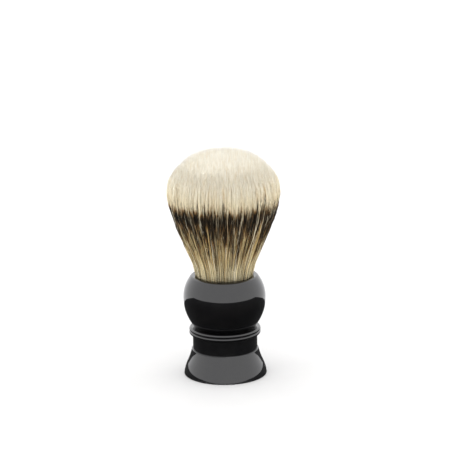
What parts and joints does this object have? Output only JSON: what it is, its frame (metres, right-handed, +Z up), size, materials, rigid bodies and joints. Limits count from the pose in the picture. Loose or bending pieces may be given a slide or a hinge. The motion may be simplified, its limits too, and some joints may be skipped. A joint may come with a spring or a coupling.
{
  "type": "shaving brush",
  "caption": "Upright shaving brush: a turned gloss black handle with bulb, double bead and flared foot, and a fanned, domed badger hair knot that bends and springs back.",
  "frame": {"origin": "centre of the flat face that the foot stands on", "axes": "+Z up, along the brush's axis, from the foot to the crown of the hair; the brush is round, so +X and +Y are free, and the hair bends about +Y"},
  "size_m": [0.051, 0.051, 0.106],
  "materials": {
    "black_resin": "polished cast resin, near mirror gloss",
    "moulded_black": "moulded black plastic, fine grain",
    "steel": "bright zinc-plated steel",
    "brass": "turned brass",
    "aluminium_ring": "thin drawn aluminium",
    "glue": "cured epoxy",
    "plug_resin": "cast resin, dark brown",
    "waxed_cord": "waxed cord",
    "badger_hair": "natural badger hair: ivory tips, near-black band, tan roots"
  },
  "bodies": {
    "handle": {"handle_foot": "black_resin", "neck_sleeve": "black_resin", "bead_ring": "black_resin", "handle_bulb": "black_resin", "base_disc": "moulded_black", "base_weight": "steel", "clamp_screw": "steel", "plain_washer": "steel", "lock_washer": "steel", "threaded_insert": "brass", "socket_adhesive": "glue", "knot_ring": "aluminium_ring", "knot_plug": "plug_resin", "knot_binding": "waxed_cord", "knot_root": "badger_hair"},
    "knot_tips": {"knot_bloom": "badger_hair"}
  },
  "joints": [
    {"name": "knot_flex", "type": "hinge", "parent": "handle", "child": "knot_tips", "pos_m": [0, 0, 0.0546], "axis": [0, 1, 0], "range_deg": [-25, 25], "stiffness_Nm_per_rad": 0.25}
  ]
}
